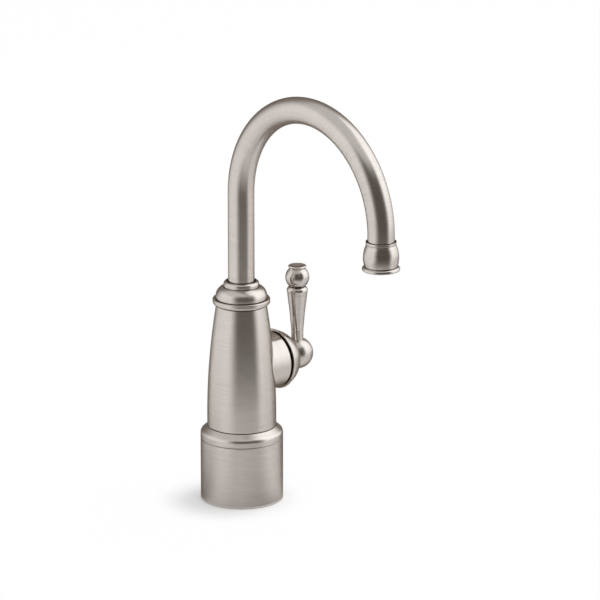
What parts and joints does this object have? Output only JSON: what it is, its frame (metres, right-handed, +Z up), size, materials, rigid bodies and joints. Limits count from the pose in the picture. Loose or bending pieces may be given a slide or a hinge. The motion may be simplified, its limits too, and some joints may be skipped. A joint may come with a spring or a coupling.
{
  "type": "beverage faucet",
  "caption": "Deck-mounted single-handle beverage faucet with a swivelling gooseneck spout, a tapered column on a wide base and a turned lever on the side.",
  "frame": {"origin": "centre of the base's underside on the deck, on the column's axis", "axes": "+Z up along the column, -Y towards the user along the spout, +X towards the handle's side"},
  "size_m": [0.082, 0.166, 0.3516],
  "materials": {
    "brushed_nickel": "warm grey brushed nickel over brass, satin",
    "brass": "machined brass, unplated",
    "rubber": "black moulded rubber",
    "stainless": "stamped stainless steel",
    "acetal": "off-white moulded acetal",
    "ceramic": "lapped alumina ceramic"
  },
  "bodies": {
    "faucet_body": {"base_sleeve": "brushed_nickel", "base_shoulder": "brushed_nickel", "column_shell": "brushed_nickel", "bead_ring": "brushed_nickel", "spout_bonnet": "brushed_nickel", "base_riser": "brass", "waterway_body": "brass", "threaded_shank": "brass", "inlet_connector": "brass", "cartridge_body": "brass", "cartridge_nut": "brass", "mounting_nut": "brass", "deck_gasket": "rubber", "deck_washer": "rubber", "connector_o_ring": "rubber", "riser_o_ring": "rubber", "cartridge_o_ring": "rubber", "seat_seal": "rubber", "clamp_washer": "stainless", "retaining_clip": "stainless", "connector_collet": "acetal", "lower_bushing": "acetal", "upper_bushing": "acetal", "fixed_disc": "ceramic"},
    "spout": {"spout_tube": "brushed_nickel", "spout_post": "brass", "spout_o_rings": "rubber", "spout_tip": "brushed_nickel", "aerator_body": "acetal", "aerator_screen": "stainless", "aerator_washer": "rubber"},
    "handle": {"handle_hub": "brushed_nickel", "lever_shaft": "brushed_nickel", "finial_ball": "brushed_nickel", "finial_cap": "brushed_nickel", "handle_set_screw": "stainless", "valve_stem": "brass", "moving_disc": "ceramic", "stem_o_ring": "rubber"}
  },
  "joints": [
    {"name": "spout_swivel", "type": "hinge", "parent": "faucet_body", "child": "spout", "pos_m": [0, 0, 0.13], "axis": [0, 0, 1], "continuous": true},
    {"name": "handle_turn", "type": "hinge", "parent": "faucet_body", "child": "handle", "pos_m": [0, 0, 0.0848], "axis": [1, 0, 0], "range_deg": [0, 90]}
  ]
}
